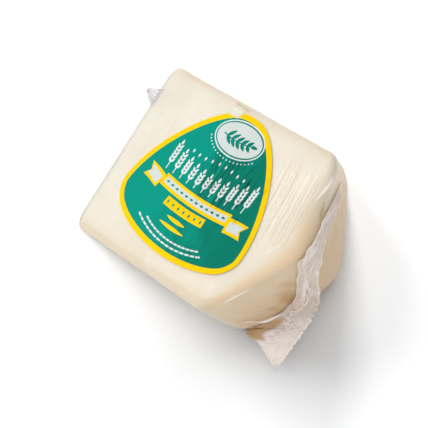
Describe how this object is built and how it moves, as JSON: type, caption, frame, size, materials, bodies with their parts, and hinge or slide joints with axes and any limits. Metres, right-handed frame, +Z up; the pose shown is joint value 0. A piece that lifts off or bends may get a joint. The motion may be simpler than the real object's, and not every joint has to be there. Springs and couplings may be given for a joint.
{
  "type": "sealed pecorino cheese wedge",
  "caption": "Wedge of a small round pecorino cheese lying on its lower cut face, sealed in a clear film bag with a crinkled end seal and a triangular label on the upper cut face.",
  "frame": {"origin": "middle of the flat lower cut face that the pack rests on", "axes": "+Z up; +X from the thin edge of the wedge towards the heel; Y along the axis of the wheel that the wedge was cut from"},
  "size_m": [0.1018, 0.0793, 0.0584],
  "materials": {
    "film_over_cheese": "ivory cheese with a tan rind seen through clear, slightly creased shrink film",
    "label_print": "printed film label, green with a yellow border"
  },
  "bodies": {
    "root": {"film_pack": "film_over_cheese", "label": "label_print"}
  },
  "joints": []
}
